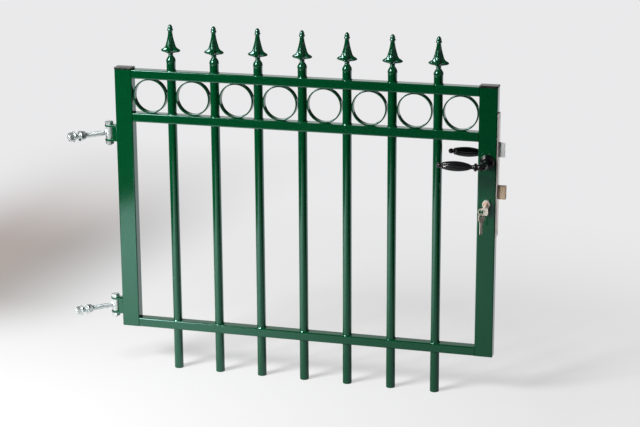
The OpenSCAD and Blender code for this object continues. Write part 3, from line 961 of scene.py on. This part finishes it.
def keys():
    """Key in the lock, turned an eighth, and a spare that hangs from it on a split ring."""
    neck = BOW_L / 2 - BOW_RIM / 2

    def key(name, node, place, hole_l, length, cuts, start):
        shape = Shape()
        key_bow(shape, place, hole_l)
        key_blade(shape, place @ to(0, 0, -neck), length, [cut * MM for cut in cuts], start)
        shape.piece(name, KEY, "key", [node], sharp=30)

    low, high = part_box("inserted_key")
    bow_y = low.y + BOW_L / 2
    lie = to(CYL.x, bow_y, CYL.z) @ turn(KEY_TURNED, "Y") @ ALONG_Y @ turn(90, "Z")
    key("key_in_lock", "inserted_key", lie, BOW_HOLE, high.y - bow_y - neck, [0.6, 1.2], 22 * MM)

    low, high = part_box("spare_key")
    hang = to((low.x + high.x) / 2, (low.y + high.y) / 2, high.z - BOW_L / 2)
    key("hanging_spare_key", "spare_key", hang @ turn(45, "Z"), 6.5 * MM,
        high.z - low.z - BOW_L + BOW_RIM / 2, [1.2, 2.2, 1.0, 2.6, 1.6], 5 * MM)


def key_ring():
    """Flat wire wound twice, which steps from one layer to the other halfway."""
    low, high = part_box("key_ring")
    wire = (high.y - low.y) / 2
    r = (high.x - low.x) / 2 - wire
    step = 0.04                # half the share of the whole length that the step takes
    section = rounded_rect(1.9 * wire, 0.94 * wire, 0.2 * MM, steps=2, margin=0.05 * MM)
    steps = 160
    loops = []
    for k in range(steps + 1):
        t = k / steps
        angle = TAU * (0.07 + 2 * t)
        y = wire / 2 * max(-1, min(1, (t - 0.5) / step))
        loops.append(about_y(section, r, angle, y))
    ring = Shape().add(skin(loops), Matrix.Translation((low + high) / 2))
    ring.piece("split_key_ring", KEY, "key", ["key_ring"])


def rosettes():
    for node, outwards in [("front_rosette", -Y), ("back_rosette", Y)]:
        low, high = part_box(node)
        r = (high.x - low.x) / 2 / MM
        t = (high.y - low.y) / MM
        hole = 7.8
        profile = [(hole, 0.4), (hole, 0), (r - 0.3, 0), (r, 0.3), (r, 0.9), (r, 2.0),
                   (r - 0.12, 2.5), (r - 0.5, 2.95), (r - 1.0, 3.15), (r - 1.35, 3.4),
                   (r - 1.5, 3.9), (r - 1.6, 5.0), (r - 1.9, 6.6), (r - 2.5, 7.9), (r - 3.5, 9.0),
                   (r - 4.9, t - 0.35), (r - 6.2, t), (hole + 0.4, t), (hole, t - 0.4)]
        at = Vector((SPINDLE.x, low.y if outwards.y > 0 else high.y, SPINDLE.z))
        part = lathe([(a * MM, b * MM) for a, b in profile], 96, closed=True)
        disc = Shape().add(part, facing(at, outwards))
        disc.piece("turned_" + node, BLACK, "leaf", [node], sharp=50)


def lever_grip(length):
    """Turned outline of a lever as (radius, distance) in MM, and how deep it is fluted."""
    grip_from, grip_to = 0.29 * length, 0.915 * length
    collar = [(7.5, 0.0), (7.3, 0.03), (6.8, 0.07), (6.4, 0.11), (6.2, 0.135), (6.8, 0.142),
              (8.2, 0.150), (8.9, 0.162), (9.0, 0.178), (8.7, 0.192), (7.4, 0.202), (6.0, 0.21),
              (5.0, 0.222), (4.6, 0.24), (4.6, 0.27)]
    rows = [(r, share * length, 0) for r, share in collar] + [(4.8, grip_from, 0)]
    for k in range(1, 32):
        t = k / 32
        swell = math.sin(math.pi * (0.02 + 0.86 * t ** 0.92)) ** 0.8
        r = 4.6 + (GRIP_R / MM - 4.6) * swell
        rows.append((r, grip_from + (grip_to - grip_from) * t, 0.9 * min(1, 2.2 * swell)))
    end_bead = [(6.4, -1.5), (7.2, -1.1), (7.6, -0.3), (7.6, 0.6), (7.0, 1.4), (5.4, 1.8),
                (4.4, 2.2)]
    rows += [(r, grip_to + past, 0) for r, past in end_bead]
    ball = BALL_R / MM
    for k in range(1, 14):
        angle = math.pi * (0.25 + 0.75 * k / 14)
        rows.append((ball * math.sin(angle), length - ball * math.cos(angle), 0))
    rows.append((0.25, length + ball, 0))
    return rows


def levers():
    """Lever handles: a neck out of the rosette, an elbow, and a fluted, swelling grip."""
    bend = 7 * MM
    for node, outwards in [("front_lever", -Y), ("back_lever", Y)]:
        low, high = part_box(node)
        face, far = (FRONT_Y, low.y) if outwards.y < 0 else (STILE_HIGH.y, high.y)
        axis_out = abs(far - face) - GRIP_R
        length = (SPINDLE.x - low.x - BALL_R) / MM
        heights = [0.6 * MM, 1.5 * MM] + [(axis_out - bend) * k / 6 for k in range(1, 7)]
        path = [((0.0, z), 0.0) for z in heights]
        for k in range(1, 13):
            a = math.pi / 2 * k / 12
            path.append(((-bend * (1 - math.cos(a)), axis_out - bend + bend * math.sin(a)), a))

        def section(at, turned, r, depth):
            def point(angle):
                wave = 0.5 - 0.5 * math.cos(FLUTES * angle)
                u, v, _ = polar(r - depth * MM * (1 - wave ** 0.6), angle, 0)
                return at[0] + u * math.cos(turned), v, at[1] + u * math.sin(turned)

            return around(point, 120)

        loops = [section((0, 0.5 * MM), 0, NECK_R - 1 * MM, 0)]
        loops += [section(at, turned, NECK_R, 0) for at, turned in path]
        for r, along, depth in lever_grip(length):
            if along * MM > bend + 0.5 * MM:
                loops.append(section((-along * MM, axis_out), math.pi / 2, r * MM, depth))
        base = facing(Vector((SPINDLE.x, face, SPINDLE.z)), outwards, spin=X)
        Shape().add(skin(loops), base).piece("fluted_" + node, BLACK, "handle", [node], sharp=50)


def lock_hardware():
    """Face plate with its two cross-recessed screws, and the two bolts."""
    softened("lock_face_plate", "soft_face_plate", PLATE, 0.4 * MM)
    softened("latch_bolt", "soft_latch_bolt", NICKEL, 0.8 * MM)
    softened("deadbolt", "soft_deadbolt", BRASS, 0.7 * MM)
    head, recess, from_end = 3.9 * MM, 1.0 * MM, 9 * MM
    loops = []
    for t in [1.0, 0.97, 0.9, 0.8, 0.7, 0.6, 0.52, 0.44, 0.36, 0.28, 0.2, 0.12, 0.04]:
        dome = 0.55 * MM * math.sqrt(max(0, 1 - t * t)) + 0.05 * MM

        def point(angle):
            x, y, _ = polar(head * t, angle, 0)
            arm = min(abs(x), abs(y)) < 0.5 * MM and head * t < 0.62 * head
            return x, y, dome - (recess if arm else 0)

        loops.append(around(point, 64))
    screw = skin([[(x, y, -0.5 * MM) for x, y, _ in loops[0]]] + loops)
    low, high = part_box("lock_face_plate")
    screws = Shape()
    for z in [low.z + from_end, high.z - from_end]:
        at = Vector((high.x, (low.y + high.y) / 2, z))
        screws.add(screw, facing(at, X, spin=Z + Y * 0.4))
    screws.piece("face_plate_screws", ZINC, "leaf", sharp=30)


# ---- all pieces

frame_tubes()
cut_out(bpy.data.objects["lock_stile_tube"], lock_stile_cuts())
round_bars()
frame_welds()
frieze_rings()
stile_caps()
finials()
hinge_brackets()
hinge_pins()
eyebolts()
rod_fittings()
lock_cylinder()
cylinder_plug()
keys()
key_ring()
rosettes()
levers()
lock_hardware()
for node in ["lock_case", "spindle"]:
    carried = frame["nodes"][node]
    carried.data.materials.clear()
    carried.data.materials.append(ZINC)


# ---- stage

FLOOR_Z = centre(BARS[0]).z - size(BARS[0]).z / 2


def grey(value):
    return value, value, value


def pale_floor():
    """Flat floor. Bounced light and most reflections find pale paper on a dark studio
    floor, up to 2 m in front of the gate, slanted at its left and duller at its right.
    This paper is a painted pool of lamp light: the dulling to its right and the near-black
    floor around it are painted shade of the unlit studio.
    The lens, and reflections of what lies behind the gate, find pale paper that far away
    glows as evenly as a lit backdrop and nearer the gate glows brighter, a painted pool
    of light, with a soft warm painted shadow behind the hinge side."""
    half = 16.0
    corners = [(-half, -half), (half, -half), (half, half), (-half, half)]
    mesh = new_mesh("floor", [(x, y, FLOOR_Z) for x, y in corners], [(0, 1, 2, 3)])
    floor = new_object("floor", mesh)
    material = bpy.data.materials.new("paper_floor")
    n = Nodes(material)
    at = n.position()
    x, y, _ = n.split(at)
    # from here on x and y are taken from the hinge stile's front edge
    x = n.math("SUBTRACT", x, STILE_LOW.x)
    y = n.math("SUBTRACT", y, FRONT_Y)

    # the paper that bounced light and reflections find: a painted pool of lamp light,
    # duller to the right as painted shade, on a near-black floor painted as the unlit studio
    right = n.remap(x, 0.10, 0.50, 1, 0.45)
    end = n.remap(x, 0.95, 1.5, 1, 0)
    left = n.remap(n.math("ADD", y, n.times(x, 3)), -2.98, -2.62, 0, 1)
    front = n.remap(y, -2.1, -1.85, 0, 1)
    lit_paper_pool = n.times(n.math("MINIMUM", left, front), n.times(right, end))
    studio = n.shader("BsdfDiffuse", n.mix(lit_paper_pool, grey(0.012), grey(0.86)))

    # the shadow behind the hinge side
    near = n.remap(y, 0.0, 0.4, 0, 1, "SMOOTHSTEP")
    away = n.remap(y, 0.75, 1.6, 1, 0.3, "SMOOTHSTEP")
    away = n.times(away, n.remap(y, 1.5, 2.1, 1, 0))
    slanted = n.math("SUBTRACT", x, n.times(y, 0.1))
    side = n.remap(slanted, -0.64, -0.14, 0.58, 0, "SMOOTHSTEP")
    beyond = n.remap(x, -1.15, -0.7, 0, 1, "SMOOTHSTEP")
    shade = n.times(n.times(near, away), n.times(side, beyond))
    warm = n.mix(n.remap(x, -0.6, -0.3, 0, 1), (0.163, 0.079, 0.034), (0.10, 0.09, 0.08))

    # what the lens sees: paper near the gate, glowing backdrop far away
    mottle = n.mix(n.noise(at, 1.5, detail=3), grey(0.94), grey(0.96))
    paper = n.shader("BsdfDiffuse", n.mix(shade, mottle, warm))
    reach = n.distance(at, LEAF_CENTRE)
    # painted pool of light: the glow is brighter near the gate than far away
    lit = n.mix(n.remap(reach, 0.7, 1.5, 0, 1), grey(0.98), (0.82, 0.82, 0.83))
    glow = n.shader("Emission", n.mix(shade, lit, warm))
    seen = n.blend(n.remap(reach, 0.6, 1.5, 0.55, 1), paper, glow)

    path = n.new("LightPath")
    behind = n.times(n.remap(y, 0.05, 0.3, 0, 1), n.remap(x, -0.7, -0.5, 0, 1))
    behind = n.times(path.outputs["Is Glossy Ray"], behind)
    looked_at = n.math("MAXIMUM", path.outputs["Is Camera Ray"], behind)
    n.show(n.blend(looked_at, studio, seen))
    mesh.materials.append(material)


def studio_world():
    """Pale backdrop behind the gate, a dim room on the other sides, pale to the lens."""
    world = bpy.data.worlds.new("studio")
    bpy.context.scene.world = world
    n = Nodes(world)
    x, y, z = n.split(n.new("TexCoord").outputs["Generated"])
    behind = n.remap(y, 0.45, 0.75, 0, 1)
    low = n.remap(z, 0.28, 0.40, 1, 0)
    near = n.remap(x, -0.15, 0.1, 1, 0)
    sheet = n.times(n.times(behind, low), near)
    wall = n.mix(n.remap(x, 0.2, 0.6, 0, 1), grey(0.012), grey(0.1))
    room = n.shader("Background", n.mix(sheet, wall, grey(0.9)))
    pale = n.shader("Background", grey(0.84))
    to_lens = n.new("LightPath").outputs["Is Camera Ray"]
    n.show(n.blend(to_lens, room, pale), "OutputWorld")


def softbox(name, at, aim, width, watts, spread=180):
    light = bpy.data.lights.new(name, "AREA")
    light.shape = "SQUARE"
    light.size = width
    light.energy = watts
    light.spread = math.radians(spread)
    lamp = new_object(name, light)
    lamp.location = at
    lamp.rotation_euler = (Vector(aim) - Vector(at)).to_track_quat("-Z", "Y").to_euler()


def camera(eye, yaw, pitch, roll, focal):
    """Camera at a point, turned by angles in degrees from looking level along Y."""
    lens = bpy.data.cameras.new("camera")
    lens.sensor_width = 36
    lens.lens = focal
    lens.clip_end = 100
    viewer = new_object("camera", lens)
    viewer.matrix_world = to(*eye) @ turn(yaw, "Z") @ turn(90 - pitch, "X") @ turn(roll, "Z")
    bpy.context.scene.camera = viewer


pale_floor()
studio_world()
softbox("key_softbox", (LEAF_CENTRE.x - 2.2, FRONT_Y - 2.5, 2.45),
        (LEAF_CENTRE.x - 0.3, FRONT_Y - 0.3, 0.0), 1.5, 37, spread=80)
softbox("paper_light", (STILE_LOW.x - 0.5, FRONT_Y - 0.85, 0.85),
        (STILE_LOW.x - 0.4, FRONT_Y - 0.8, 0), 0.45, 5.5)
# seen from the front, a little to the right of the leaf and from above
camera((1.55723, -3.66621, 1.35027), yaw=15.295, pitch=15.912, roll=-0.262, focal=102.37)
bpy.context.scene.view_settings.view_transform = "Standard"
